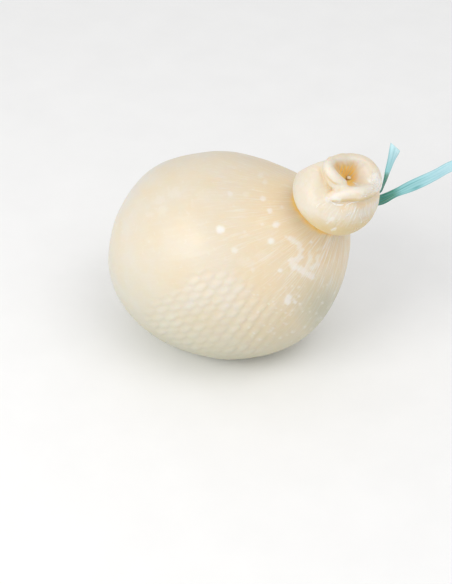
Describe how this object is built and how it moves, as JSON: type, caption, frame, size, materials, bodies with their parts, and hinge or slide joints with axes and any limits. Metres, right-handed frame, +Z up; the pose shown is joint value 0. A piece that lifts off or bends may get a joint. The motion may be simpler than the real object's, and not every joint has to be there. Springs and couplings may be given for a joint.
{
  "type": "caciocavallo cheese",
  "caption": "Whole pear-shaped stretched-curd cheese lying on its side, with a rolled and folded head, tied at the neck with a flat ribbon.",
  "frame": {"origin": "centre of the small flat spot on which the cheese rests", "axes": "+Z up, +X level from the blunt end towards the neck and head, +Y level, away from the side that is seen in the picture"},
  "size_m": [0.2036, 0.1256, 0.1478],
  "materials": {
    "curd": "smooth waxy cream rind with a soft sheen",
    "ribbon": "thin translucent sea-green ribbon, satin"
  },
  "bodies": {
    "root": {"cheese": "curd", "neck_tie": "ribbon", "tail_short": "ribbon", "tail_long": "ribbon"}
  },
  "joints": []
}
